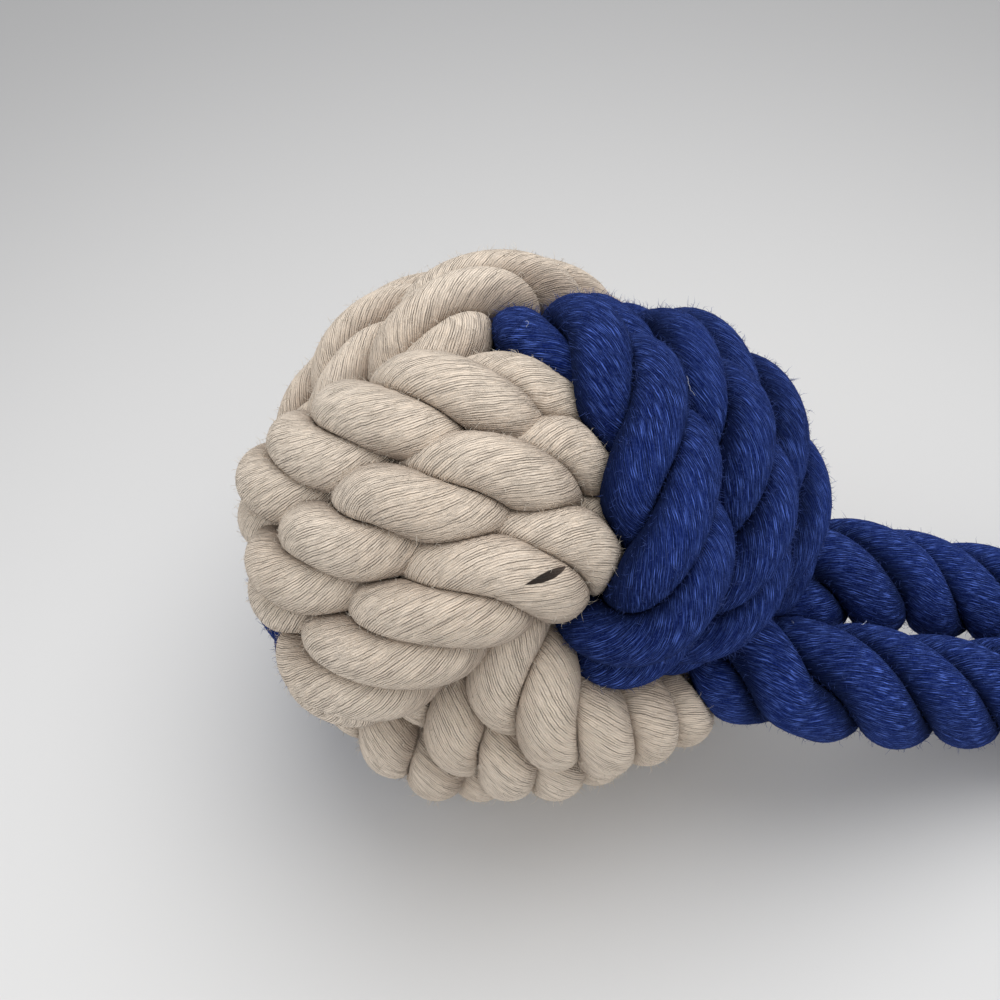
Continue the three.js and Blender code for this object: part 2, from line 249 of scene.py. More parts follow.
def bandPath(form, shape):
    # The middle line of a band: its turns one after the other, their long sides bowed in a little. A turn
    # keeps its row but for the hidden side, where it eases over to the next one. The ball's corners are
    # drawn in by a power of the ratio of two norms of each point. The rope's ends lie inside the ball
    outline, turns = turnOutline(form, shape), shape["turns"]
    count = len(outline)
    over, under, _ = np.tile(outline.T, turns)
    eased = smooth((over + shape["crossing"]) / (2 * shape["crossing"]))
    firstHalf = np.tile(np.arange(count) < count / 2, turns)
    movedOver = np.where(under < 0, np.where(firstHalf, eased - 1, eased), 0)
    row = np.repeat(np.arange(turns), count) - (turns - 1) / 2 + movedOver
    openness = np.clip(1 - (under / form["underReach"]) ** 2, 0, 1)
    bow = (shape["bulge"] + shape["middleRise"] * (1 - np.abs(row))) * openness
    over = over + np.sign(over) * bow * smooth(np.abs(over) / (shape["bowShare"] * form["overReach"]))
    beside = np.abs(under) / form["underReach"]
    dip = shape["underDip"] * smooth((beside - shape["dipShare"]) / (1 - shape["dipShare"]))
    under = under - np.sign(under) * dip
    parts = np.stack([over, under, row * form["pitch"] + form["shift"]], 1)
    power = shape["roundPower"]
    ratio = (np.abs(parts) ** power).sum(1) ** (1 / power) / np.linalg.norm(parts, axis=1)
    parts *= (ratio ** shape["roundness"])[:, None]
    outside = np.abs(parts[:, 0]) > shape["crossing"] - shape["endInset"]
    first = int(np.argmax(outside))
    kept = parts[first:len(parts) - int(np.argmax(outside[::-1]))]
    along = lengthAlong(kept)
    toFace = int(np.argmin(np.where(outline[:, 0] > 0, np.abs(outline[:, 1]), np.inf)))
    facePlaces = [along[turn * count + toFace - first] for turn in range(turns)]
    for turn, pairs in form["nudges"].items():
        kept[:, 2] += offsetsAt(pairs, along - facePlaces[turn], shape["nudgeFade"])
    for turn, pairs in form["sinks"].items():
        depth = offsetsAt(pairs, along - facePlaces[turn], shape["sinkFade"])
        kept *= (1 - depth / np.linalg.norm(kept, axis=1))[:, None]
    points = evenOut(kept @ np.stack([form["over"], form["under"], form["along"]]), shape["pathEven"])
    return points, np.interp(facePlaces, along, lengthAlong(points))


def crownPhase(form, facePlaces, along):
    # The running number of strand crowns along a band. Known crowns get whole numbers, a step of about the
    # crown step apart, and the rest of the rope follows between and beyond them by straight lines
    known = np.sort(np.concatenate([[facePlaces[turn] + place for place in row]
                                    for turn, row in form["crowns"].items()]))
    step = form["crownStep"]
    number = np.concatenate([[0], np.cumsum(np.maximum(1, np.round(np.diff(known) / step)))])
    before = -known[0] / step
    after = number[-1] + (along[-1] - known[-1]) / step
    phase = np.interp(along, [0, *known, along[-1]], [before, *number, after])
    return evenOut(phase[:, None], ballShape["phaseEven"])[:, 0]


for name, form in bands.items():
    path, facePlaces = bandPath(form, ballShape)
    points, along = resample(path, form["rope"]["step"])
    addStrands(name, points + ballMiddle, points, form["rope"], crownPhase(form, facePlaces, along))
    print(name, round(along[-1]), "mm of rope, faces at", [round(float(p)) for p in facePlaces])


# Tails: the route of each one's middle line, from the ball to the end knot, as the solids have it, in metres
upperRoute = [
    (0.0504, -0.0053, 0.0403), (0.0605, -0.0026, 0.0368), (0.0675, 0.0001, 0.0332), (0.0775, 0.0022, 0.0286),
    (0.0875, 0.0034, 0.0244), (0.0974, 0.0040, 0.0203), (0.1072, 0.0043, 0.0166), (0.1170, 0.0044, 0.0134),
    (0.1270, 0.0043, 0.0114), (0.1370, 0.0040, 0.0111), (0.1470, 0.0037, 0.0120), (0.1570, 0.0035, 0.0142),
    (0.1660, 0.0034, 0.0176), (0.1740, 0.00335, 0.0206),
]
lowerRoute = [
    (0.0427, -0.0255, 0.0395), (0.0495, -0.0257, 0.0386), (0.0560, -0.0249, 0.0360), (0.0655, -0.0229, 0.0319),
    (0.0755, -0.0201, 0.0275), (0.0855, -0.0177, 0.0233), (0.0954, -0.0169, 0.0193), (0.1053, -0.0166, 0.0157),
    (0.1160, -0.0165, 0.0126), (0.1270, -0.0167, 0.0112), (0.1370, -0.0170, 0.0111), (0.1470, -0.0171, 0.0120),
    (0.1570, -0.0170, 0.0142), (0.1660, -0.0170, 0.0176), (0.1740, -0.01695, 0.0206),
]
knot = {"place": 192, "middle": -6.8, "rope": 13, "rowGap": 0.6, "turns": 3, "seatGap": 0.3, "flat": 1.3,
        "leadIn": 10, "halfway": 23, "leadOut": 8, "corners": 2400, "evenWidth": 20}
halfSpacing = (freeRope["diameter"] + knot["seatGap"]) / 2
knotCorner = freeRope["diameter"] / 2 + knot["seatGap"] + knot["rope"] / 2
knotHeight = knotCorner + knot["rope"] / 2 - knot["flat"]
knotPitch = knot["rope"] + knot["rowGap"]
tailEnd = knot["place"] + knot["turns"] * knotPitch + knot["rope"] / 2 + knot["leadOut"]
# Each rope is pushed by up to "push" off its route between two places along the toy, as the photo shows it
tails = {
    "upperTail": {"route": upperRoute, "side": 1, "inside": ((34, -14, 43), (42, -9, 42)),
                  "rope": dict(freeRope, strandRadius=5.15, strandCentre=4.2, yarnLay=26),
                  "lay": 42, "phase": 0.334, "push": (0, -2.6, -2.6), "pushFrom": 44, "pushBy": 80},
    "lowerTail": {"route": lowerRoute, "side": -1, "inside": ((27, -22, 47), (35, -24.3, 43.5)),
                  "rope": dict(freeRope, yarnLay=27),
                  "lay": 46, "phase": 0.01, "push": (0, -1.5, -1.5), "pushFrom": 48, "pushBy": 80},
}
tailShape = {"corners": 1200, "outward": (0.0, -0.57, 0.82), "pushEnd": 120, "pushFade": 25,
             "cordPoints": 32}

for name, tail in tails.items():
    y = knot["middle"] + tail["side"] * halfSpacing
    throughKnot = (knot["place"] - knot["leadIn"], knot["place"] + knot["halfway"], tailEnd)
    route = [*tail["inside"], *[tuple(c / mm for c in place) for place in tail["route"]],
             *[(x, y, knotHeight) for x in throughKnot]]
    points = catmull(route, tailShape["corners"])
    x = points[:, :1]
    eased = smooth((x - tail["pushFrom"]) / (tail["pushBy"] - tail["pushFrom"]))
    points += np.array(tail["push"]) * eased * smooth((tailShape["pushEnd"] - x) / tailShape["pushFade"])
    points, along = resample(points, freeRope["step"])
    outward = np.tile(tailShape["outward"], (len(points), 1))
    addStrands(name, points, outward, tail["rope"], tail["phase"] + strandsInRope * along / tail["lay"])
    tail["path"], tail["length"] = points, along[-1]
    print(name, round(along[-1]), "mm long")


def knotPath():
    # The binding rope's middle line climbs steadily along the tails while it goes round both of them, on an
    # outline of two half circles and two straights
    arc, straight = np.pi * knotCorner, 2 * halfSpacing
    around = 2 * arc + 2 * straight
    travel = np.linspace(0, knot["turns"] * around + straight, knot["corners"])
    lap = travel % around
    turnRight = (lap - straight) / knotCorner
    turnLeft = (lap - 2 * straight - arc) / knotCorner
    stretches = [lap < straight, lap < straight + arc, lap < 2 * straight + arc]
    y = np.select(stretches, [lap - halfSpacing, halfSpacing + knotCorner * np.sin(turnRight),
                              halfSpacing - (lap - straight - arc)],
                  -halfSpacing - knotCorner * np.sin(turnLeft))
    z = np.select(stretches, [-knotCorner + 0 * lap, -knotCorner * np.cos(turnRight),
                              knotCorner + 0 * lap], knotCorner * np.cos(turnLeft))
    x = travel * knotPitch / around
    return np.stack([x + knot["place"], y + knot["middle"], z + knotHeight], 1)


points = resample(evenOut(knotPath(), knot["evenWidth"]), bindingRope["step"])[0]
fromAxis = points - np.array([0, knot["middle"], knotHeight])
fromAxis[:, 0] = 0
phase = strandsInRope * lengthAlong(points) / bindingRope["lay"]
addStrands("knotRope", points, fromAxis, bindingRope, phase)
print("strand lines laid:", len(strands))


# Settling: strands that lie too close push each other apart, and each is drawn back to where it was laid
settling = {"spacing": 8.4, "rounds": 60, "lookEvery": 12, "push": 0.45, "hold": 0.035, "ownTurn": 16,
            "nodeStep": 2, "reach": 12, "smoothing": 3, "outward": 0.3, "drawnIn": 0.6, "sharing": 0.35,
            "leastDistance": 0.5, "tailHeldFrom": 70, "tailFade": 20, "blockSize": 500}


def closePairs(points, strandOf, along):
    # Pairs of nodes nearer than the reach, of two strands or of far-apart stretches of one
    firsts, seconds = [], []
    for start in range(0, len(points), settling["blockSize"]):
        block = points[start:start + settling["blockSize"]]
        distance = np.linalg.norm(block[:, None] - points[None], axis=2)
        one, two = np.nonzero(distance < settling["reach"])
        one = one + start
        far = np.abs(along[one] - along[two]) > settling["ownTurn"]
        keep = (two > one) & (far | (strandOf[one] != strandOf[two]))
        firsts.append(one[keep])
        seconds.append(two[keep])
    return np.concatenate(firsts), np.concatenate(seconds)


def settle(names):
    # Each round moves the two nodes of a close pair apart by a share of what their distance lacks, and by
    # less the more pairs a node is in. A share of every move is given back, and so is most of what rises off
    # the ball. A tail moves only near the ball
    chosen = [s for s in strands if s["piece"] in names]
    step = settling["nodeStep"]
    nodes = [s["points"][::step] for s in chosen]
    laid = np.concatenate(nodes)
    size = len(laid)
    along = np.concatenate([s["along"][::step] for s in chosen])
    strandOf = np.repeat(np.arange(len(chosen)), [len(p) for p in nodes])
    ends = np.cumsum([0, *[len(p) for p in nodes]])
    free = smooth((settling["tailHeldFrom"] - laid[:, :1]) / settling["tailFade"])
    onBall = np.repeat([s["piece"] in bands for s in chosen], [len(p) for p in nodes])
    movable = np.where(onBall[:, None], 1, free)
    moved = np.zeros_like(laid)
    radial = unit(laid - ballMiddle)
    for number in range(settling["rounds"]):
        points = laid + moved
        if number % settling["lookEvery"] == 0:
            one, two = closePairs(points, strandOf, along)
        apart = points[two] - points[one]
        distance = np.linalg.norm(apart, axis=1)
        lack = np.maximum(settling["spacing"] - distance, 0)
        lack /= np.maximum(distance, settling["leastDistance"])
        push = apart * (lack * settling["push"])[:, None]
        change = np.stack([np.bincount(two, push[:, k], size) - np.bincount(one, push[:, k], size)
                           for k in range(3)], 1)
        crowding = np.bincount(two, lack > 0, size) + np.bincount(one, lack > 0, size)
        weight = 1 + settling["sharing"] * crowding
        moved = moved * (1 - settling["hold"]) + change / weight[:, None] * movable
        risen = (moved * radial).sum(1, keepdims=True)
        moved -= radial * np.maximum(risen - settling["outward"], 0) * settling["drawnIn"]
        for low, high in zip(ends[:-1], ends[1:]):
            moved[low:high] = evenOut(moved[low:high], settling["smoothing"])
    points = laid + moved
    distance = np.linalg.norm(points[two] - points[one], axis=1)
    length = np.linalg.norm(moved, axis=1)
    print("settled: nearest strands", round(float(distance.min()), 1), "mm, moved up to",
          round(float(length.max()), 1), "mm, on average", round(float(length.mean()), 1))
    for s, low, high in zip(chosen, ends[:-1], ends[1:]):
        s["points"] = s["points"] + between(s["along"], s["along"][::step], moved[low:high])


settle([*bands, *tails])


# Pressing: where two strands meet, each gives way up to the plane midway between their middle lines
press = {"reach": 14, "nearest": 110, "sharpness": 12, "seam": 0.985, "nodeStep": 2, "leastReach": 0.3,
         "leastFacing": 1e-3, "farOff": 1e3, "nodesPerStrand": 3, "blockSize": 400}


def nodesNear(strand):
    # The nodes of every other strand within reach of this one's box, and the radius of each one's strand
    places, radii = [], []
    low = strand["points"].min(0) - press["reach"]
    high = strand["points"].max(0) + press["reach"]
    for other in strands:
        if other is strand:
            continue
        points = other["points"][::press["nodeStep"]]
        points = points[((points > low) & (points < high)).all(1)]
        places.append(points)
        radii.append(np.full(len(points), other["rope"]["strandRadius"]))
    return np.concatenate(places), np.concatenate(radii)


def pressedRadii(strand):
    # The strand's reach at each station and direction: a soft minimum of its free radius and of the distance
    # to every midway plane, and to the table. The minimum is a power mean: the sum of the distances to a
    # negative power, to the inverse of that power
    points, radius = strand["points"], strand["rope"]["strandRadius"]
    tangent = tangents(points)
    first = unit(squareTo(strand["radial"], tangent))
    around = strand["rope"]["around"]
    angle = fullTurn * (np.arange(around) + 0.5) / around
    rays = spokes(first, np.cross(tangent, first), angle)
    others, otherRadii = nodesNear(strand)
    power = press["sharpness"]
    total = np.full(rays.shape[:2], radius ** -power)
    for start in range(0, len(points), press["blockSize"]):
        block = slice(start, start + press["blockSize"])
        offset = others[None] - points[block, None]
        distance = np.linalg.norm(offset, axis=2)
        near = np.argsort(distance, axis=1)[:, :press["nearest"]]
        offset = np.take_along_axis(offset, near[..., None], 1)
        distance = np.take_along_axis(distance, near, 1)
        share = radius / (radius + otherRadii[near])
        facing = np.einsum("sad,snd->san", rays[block], offset)
        plane = (distance ** 2 * share)[:, None] / np.maximum(facing, press["leastFacing"]) * press["seam"]
        plane = np.where((facing > 0) & (distance[:, None] < press["reach"]), plane, press["farOff"])
        plane = np.maximum(plane, press["leastReach"])
        total[block] += (plane ** -power).sum(2) / press["nodesPerStrand"]
    down = np.maximum(-rays[..., 2], press["leastFacing"])
    table = np.maximum(points[:, None, 2], press["leastReach"]) / down
    total += np.maximum(table, press["leastReach"]) ** -power
    return total ** (-1 / power), rays


def tubeFaces(stations, around):
    # Quads between the rings of a tube, and triangles from its first and last ring to a point at each end,
    # which come after the rings' points
    ring, corner = np.meshgrid(np.arange(stations - 1), np.arange(around), indexing="ij")
    after = (corner + 1) % around
    quads = np.stack([ring * around + corner, ring * around + after, (ring + 1) * around + after,
                      (ring + 1) * around + corner], -1).reshape(-1, 4)
    corner, after = corner[0], after[0]
    last = (stations - 1) * around
    end = np.full(around, stations * around)
    caps = np.concatenate([np.stack([after, corner, end], 1),
                           np.stack([last + corner, last + after, end + 1], 1)])
    return quads, caps


# The crease keys set where the painted shade in the creases between strands begins and how soon it is full
strandForm = {"endShare": 0.02, "creaseShadeFrom": 0.92, "creaseShadeOver": 0.72}


def strandMesh(strand):
    # Rings of the pressed strand, each point at the middle line plus its reach along its ray, and a point at
    # each end. The yarn coordinates are the yarn's running number round the strand, and the length along it.
    # The crease value is the amount of painted shade: 0 where the surface faces away from the ball or the
    # rope, and 1 where it turns in
    radii, rays = pressedRadii(strand)
    rope, along = strand["rope"], strand["along"]
    stations, around = radii.shape
    toEnd = np.minimum(along, along[-1] - along)
    taper = np.sqrt(np.clip(toEnd / rope["strandRadius"], strandForm["endShare"], 1))
    rings = strand["points"][:, None] + rays * (radii * taper[:, None])[..., None]
    vertices = np.concatenate([rings.reshape(-1, 3), strand["points"][[0, -1]]])
    quads, caps = tubeFaces(stations, around)
    outward = unit(strand["points"] - ballMiddle if strand["piece"] in bands else strand["radial"])
    turnedIn = strandForm["creaseShadeFrom"] - np.einsum("sad,sd->sa", rays, outward)
    paintedCreaseShade = np.concatenate([smooth(turnedIn / strandForm["creaseShadeOver"]).ravel(), [1, 1]])
    turns = (np.arange(around) + 0.5) / around
    turns = np.where(turns > 0.5, turns - 1, turns)
    yarn = rope["yarns"] * (turns[None, :] + along[:, None] / rope["yarnLay"])
    ring, corner = quads[:, 0] // around, quads[:, 0] % around
    after = (corner + 1) % around
    wrapped = rope["yarns"] * (turns[after] < turns[corner])
    u = np.stack([yarn[ring, corner], yarn[ring, after] + wrapped, yarn[ring + 1, after] + wrapped,
                  yarn[ring + 1, corner]], 1)
    v = np.stack([along[ring], along[ring], along[ring + 1], along[ring + 1]], 1)
    uv = np.concatenate([np.stack([u, v], -1).reshape(-1, 2), np.zeros((3 * len(caps), 2))])
    return {"vertices": vertices, "quads": quads, "caps": caps, "uv": uv, "paintedCreaseShade": paintedCreaseShade,
            "middles": np.repeat(strand["points"], around, 0)}


def makePiece(name, vertices, faces, material, uv=None, paintedCreaseShade=None):
    # One mesh object from points in millimetres and from blocks of faces with equal corner counts
    loops = np.concatenate([block.ravel() for block in faces])
    counts = np.concatenate([np.full(len(block), block.shape[1]) for block in faces])
    starts = np.concatenate([[0], np.cumsum(counts)[:-1]])
    mesh = bpy.data.meshes.new(name)
    mesh.vertices.add(len(vertices))
    mesh.vertices.foreach_set("co", (vertices * mm).astype(np.float32).ravel())
    mesh.loops.add(len(loops))
    mesh.loops.foreach_set("vertex_index", loops.astype(np.int32))
    mesh.polygons.add(len(counts))
    mesh.polygons.foreach_set("loop_start", starts.astype(np.int32))
    mesh.polygons.foreach_set("loop_total", counts.astype(np.int32))
    if uv is not None:
        mesh.uv_layers.new(name="yarn").data.foreach_set("uv", uv.astype(np.float32).ravel())
    if paintedCreaseShade is not None:
        stored = mesh.attributes.new("paintedCreaseShade", "FLOAT", "POINT")
        stored.data.foreach_set("value", paintedCreaseShade.astype(np.float32))
    mesh.update(calc_edges=True)
    mesh.validate()
    mesh.shade_smooth()
    mesh.materials.append(material)
    print(name, int((counts - 2).sum()), "triangles")
    return addObject(name, mesh)


def ropePiece(name, parts, material):
    # One piece from the meshes of its strands, whose faces follow each other strand by strand
    starts = np.cumsum([0, *[len(part["vertices"]) for part in parts]])
    faces = [part[kind] + start for part, start in zip(parts, starts) for kind in ("quads", "caps")]
    joined = {key: np.concatenate([part[key] for part in parts]) for key in ("vertices", "uv", "paintedCreaseShade")}
    return makePiece(name, joined["vertices"], faces, material, joined["uv"], joined["paintedCreaseShade"])


# Shader nodes: every function but the first two adds a node to a tree and returns one of its outputs
def newMaterial(name):
    # A material with its tree, its shader and the place of each point in the object
    material = bpy.data.materials.new(name)
    material.use_nodes = True
    tree = material.node_tree
    return material, tree, tree.nodes["Principled BSDF"], added(tree, "TexCoord", {}, "Object")


def feed(node, inputs):
    # Joins each input to another node's output, or sets its socket to a constant value
    for name, value in inputs.items():
        if isinstance(value, bpy.types.NodeSocket):
            node.id_data.links.new(value, node.inputs[name])
        else:
            node.inputs[name].default_value = value


def added(tree, kind, inputs, output=0, **settings):
    # Any kind of node with its settings and inputs
    node = tree.nodes.new("ShaderNode" + kind)
    for key, value in settings.items():
        setattr(node, key, value)
    feed(node, inputs)
    return node.outputs[output]


def maths(tree, operation, *values, clamp=False):
    # The operation on outputs or numbers, kept between 0 and 1 if clamp is set
    return added(tree, "Math", dict(enumerate(values)), operation=operation, use_clamp=clamp)


def vectorMaths(tree, operation, first, second, output):
    # The operation on two vectors
    return added(tree, "VectorMath", {0: first, 1: second}, output, operation=operation)


def above(tree, value, level, gain):
    # What the value has above a level, times a gain, kept between 0 and 1
    return maths(tree, "MULTIPLY", maths(tree, "SUBTRACT", value, level), gain, clamp=True)


def noise(tree, vector, scale, detail=2):
    # Smooth noise about 0.5, with detail octaves over the scale
    return added(tree, "TexNoise", {"Vector": vector, "Scale": scale, "Detail": detail})


def mixed(tree, factor, first, second):
    # The first colour where the factor is 0 and the second where it is 1
    ends = [(*end, 1) if isinstance(end, tuple) else end for end in (first, second)]
    return added(tree, "Mix", {"Factor": factor, "A": ends[0], "B": ends[1]}, "Result", data_type="RGBA")


def bumped(tree, height, strength, distance):
    # The surface's normal, tilted by a height that is given in shares of the distance
    return added(tree, "Bump", {"Strength": strength, "Distance": distance, "Height": height})


def stretched(tree, across, acrossScale, along, alongScale):
    # A vector for noise that runs in streaks: two coordinates, each times its own scale
    return added(tree, "CombineXYZ", {0: maths(tree, "MULTIPLY", across, acrossScale),
                                      1: maths(tree, "MULTIPLY", along, alongScale)})


# Twisted cotton: scales are in waves per metre, but along and across yarns per millimetre and per yarn
yarnPattern = {"wobbleScale": 160, "wobble": 1.1, "strayScale": 620, "stray": 0.8, "streakAcross": 0.8,
               "streakAlong": 0.24, "streakDetail": 3, "streakLevel": 0.47, "streakGain": 6.0,
               "groovePower": 1.9, "fibreScale": 2600, "fibreDetail": 3, "fibreLevel": 0.4, "fibreGain": 2.5,
               "slowScale": 45, "slowDetail": 3, "slowLevel": 0.35, "slowGain": 3.0, "toneAcross": 2.3,
               "toneAlong": 0.5, "toneLevel": 0.5, "toneGain": 8.0, "roughness": 0.95, "sheenRoughness": 0.5}
# In each look, the line colour is painted shade in the grooves between yarns, the crease colour is painted
# shade in the creases between strands, and the yarn light colour is partly a painted highlight
creamLook = {"evenDepth": 0.26, "gloss": 0.12, "light": (0.93, 0.80, 0.662), "dark": (0.82, 0.684, 0.549),
             "line": (0.22, 0.14, 0.085), "flecks": (0.91, 0.82, 0.72), "fleck": 0.5, "lineShade": 0.84,
             "lineDepth": 0.34, "fibreDepth": 0.16, "sheen": 0.15, "sheenTint": (1.0, 0.97, 0.92),
             "yarnRise": 0.12, "yarnHighlight": 0.4, "yarnLight": (0.93, 0.82, 0.70), "creaseShade": 0.55,
             "paintedCreaseShade": (0.23, 0.15, 0.105)}
blueLook = {"evenDepth": 0.42, "gloss": 0.04, "light": (0.007, 0.021, 0.15), "dark": (0.003, 0.010, 0.085),
            "line": (0.001, 0.002, 0.018), "flecks": (0.07, 0.12, 0.42), "fleck": 0.35, "lineShade": 0.95,
            "lineDepth": 0.34, "fibreDepth": 0.2, "sheen": 0.1, "sheenTint": (0.2, 0.35, 0.95),
            "yarnRise": 0.2, "yarnHighlight": 0.8, "yarnLight": (0.11, 0.20, 0.74), "creaseShade": 0.9,
            "paintedCreaseShade": (0.0015, 0.004, 0.028)}
# A short slit where the yarns of one strand part, on the front of the ball, in metres. The mesh has no opening
# there: its inside colour is painted shade
slit = {"start": (-0.0009, -0.0375, 0.0861), "along": (0.887, 0.457, -0.061),
        "across": (0.297, -0.668, -0.682), "outward": (0.281, -0.622, 0.732),
        "length": 8.0 * mm, "halfWidth": 0.72 * mm, "reach": 2.5 * mm,
        "ragged": 0.3 * mm, "edge": 0.1 * mm, "fade": 0.2 * mm, "inside": (0.03, 0.022, 0.018)}


def slitMask(tree, place, stray):
    # 1 inside the slit: nearer to its middle line than its half width, which is a parabola along its length,
    # and no farther in or out than its reach. Its edges are ragged by noise
    offset = vectorMaths(tree, "SUBTRACT", place, slit["start"], "Vector")
    lengthwise, sideways, upwards = [vectorMaths(tree, "DOT_PRODUCT", offset, slit[direction], "Value")
                                     for direction in ("along", "across", "outward")]
    share = maths(tree, "DIVIDE", lengthwise, slit["length"])
    parabola = maths(tree, "MULTIPLY", share, maths(tree, "SUBTRACT", 1.0, share))
    width = maths(tree, "MULTIPLY", parabola, 4 * slit["halfWidth"])
    ragged = maths(tree, "MULTIPLY", maths(tree, "SUBTRACT", stray, 0.5), slit["ragged"])
    aside = maths(tree, "ABSOLUTE", maths(tree, "ADD", sideways, ragged))
    parted = maths(tree, "DIVIDE", maths(tree, "SUBTRACT", width, aside), slit["edge"], clamp=True)
    within = maths(tree, "SUBTRACT", slit["reach"], maths(tree, "ABSOLUTE", upwards))
    return maths(tree, "MULTIPLY", parted, maths(tree, "DIVIDE", within, slit["fade"], clamp=True))


def ropeMaterial(name, look, withSlit=False):
    # Grooves of uneven depth between yarns, where the sine of the yarn's running number crosses zero, darkened
    # with painted shade.
    # Yarns differ in tone at random, and their lighter streaks are partly painted highlight. There are flecks,
    # a slow change of shade, painted shade in the creases between strands, and a soft sheen
    p = yarnPattern
    material, tree, shader, place = newMaterial(name)
    uv = added(tree, "UVMap", {}, uv_map="yarn")
    yarn, along = [added(tree, "SeparateXYZ", {0: uv}, number) for number in (0, 1)]
    stray = noise(tree, place, p["strayScale"])
    for wander, amount in ((noise(tree, place, p["wobbleScale"]), p["wobble"]), (stray, p["stray"])):
        aside = maths(tree, "MULTIPLY", maths(tree, "SUBTRACT", wander, 0.5), amount)
        yarn = maths(tree, "ADD", yarn, aside)
    wave = maths(tree, "ABSOLUTE", maths(tree, "SINE", maths(tree, "MULTIPLY", yarn, np.pi)))
    streaks = stretched(tree, yarn, p["streakAcross"], along, p["streakAlong"])
    streak = above(tree, noise(tree, streaks, 1.0, p["streakDetail"]), p["streakLevel"], p["streakGain"])
    depth = maths(tree, "ADD", streak, look["evenDepth"], clamp=True)
    valley = maths(tree, "POWER", maths(tree, "SUBTRACT", 1.0, wave), p["groovePower"])
    groove = maths(tree, "MULTIPLY", valley, depth)
    fibre = noise(tree, place, p["fibreScale"], p["fibreDetail"])
    slow = noise(tree, place, p["slowScale"], p["slowDetail"])
    # Lighter streaks along the yarns, placed by noise: partly a random tone and partly a painted highlight,
    # and raised a little too
    tones = stretched(tree, yarn, p["toneAcross"], along, p["toneAlong"])
    lit = above(tree, noise(tree, tones, 1.0), p["toneLevel"], p["toneGain"])
    flecked = maths(tree, "MULTIPLY", above(tree, fibre, p["fibreLevel"], p["fibreGain"]), look["fleck"])
    colour = mixed(tree, above(tree, slow, p["slowLevel"], p["slowGain"]), look["dark"], look["light"])
    colour = mixed(tree, flecked, colour, look["flecks"])
    colour = mixed(tree, maths(tree, "MULTIPLY", lit, look["yarnHighlight"]), colour, look["yarnLight"])
    # Painted shade in the grooves between yarns: the dark line colour, mixed in by the groove's depth
    colour = mixed(tree, maths(tree, "MULTIPLY", groove, look["lineShade"]), colour, look["line"])
    if withSlit:
        # The slit's inside is painted dark as shade
        colour = mixed(tree, slitMask(tree, place, stray), colour, slit["inside"])
    # Painted shade in the creases between strands: a dark colour mixed in by the stored crease value, standing
    # in for shadow there
    paintedCreaseShade = added(tree, "Attribute", {}, "Fac", attribute_name="paintedCreaseShade")
    creaseShading = maths(tree, "MULTIPLY", paintedCreaseShade, look["creaseShade"])
    colour = mixed(tree, creaseShading, colour, look["paintedCreaseShade"])
    height = maths(tree, "MULTIPLY", maths(tree, "SUBTRACT", 1.0, groove), look["lineDepth"])
    height = maths(tree, "ADD", height, maths(tree, "MULTIPLY", fibre, look["fibreDepth"]))
    height = maths(tree, "ADD", height, maths(tree, "MULTIPLY", lit, look["yarnRise"]))
    feed(shader, {"Base Color": colour, "Normal": bumped(tree, height, 1.0, mm),
                  "Roughness": p["roughness"], "Specular IOR Level": look["gloss"],
                  "Sheen Weight": look["sheen"], "Sheen Roughness": p["sheenRoughness"],
                  "Sheen Tint": (*look["sheenTint"], 1)})
    return material


creamCotton = ropeMaterial("creamCotton", creamLook)
slitCotton = ropeMaterial("slitCotton", creamLook, withSlit=True)
blueCotton = ropeMaterial("blueCotton", blueLook)

# Loose fibre and cloth
plainLook = {"detail": 3, "darkEnd": 0.35, "lightEnd": 0.65, "grainScale": 3000, "grainStrength": 0.5,
             "grainDepth": 0.2 * mm, "roughness": 0.95, "gloss": 0.15, "sheen": 0.2}


def plainCotton(name, light, dark, scale):
    # Two shades mixed by noise in object space, with a fine grain
    look = plainLook
    material, tree, shader, place = newMaterial(name)
    ramp = added(tree, "ValToRGB", {"Fac": noise(tree, place, scale, look["detail"])})
    for stop, where, colour in zip(ramp.node.color_ramp.elements, ("darkEnd", "lightEnd"), (dark, light)):
        stop.position = look[where]
        stop.color = (*colour, 1)
    grain = noise(tree, place, look["grainScale"])
    normal = bumped(tree, grain, look["grainStrength"], look["grainDepth"])
    feed(shader, {"Base Color": ramp, "Normal": normal, "Roughness": look["roughness"],
                  "Specular IOR Level": look["gloss"], "Sheen Weight": look["sheen"],
                  "Sheen Tint": (*light, 1)})
    return material


creamFibre = plainCotton("creamFibre", (0.86, 0.79, 0.70), (0.74, 0.66, 0.55), 900)
blueFibre = plainCotton("blueFibre", (0.07, 0.11, 0.34), (0.025, 0.05, 0.22), 900)
lintFibre = plainCotton("lintFibre", (0.62, 0.66, 0.78), (0.36, 0.42, 0.62), 700)
coreCloth = plainCotton("coreCloth", (0.70, 0.62, 0.50), (0.52, 0.45, 0.35), 240)
bpy.data.objects["core_ball"].data.materials[0] = coreCloth


# Pieces
pieces, meshParts = {}, {}
for name, node, slot, material in (("frontBand", "front_band", "cream_rope", slitCotton),
                                   ("topBand", "top_band", "cream_rope", creamCotton),
                                   ("blueBand", "blue_band", "blue_rope", blueCotton),
                                   ("upperTail", "tail_upper", "blue_rope", blueCotton),
                                   ("lowerTail", "tail_lower", "blue_rope", blueCotton),
                                   ("knotRope", "end_knot", "blue_rope", blueCotton)):
    meshParts[name] = [strandMesh(s) for s in strands if s["piece"] == name]
    pieces[name] = ropePiece(name, meshParts[name], material)
    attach(pieces[name], "root")
    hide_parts(node)
print("ropes made")


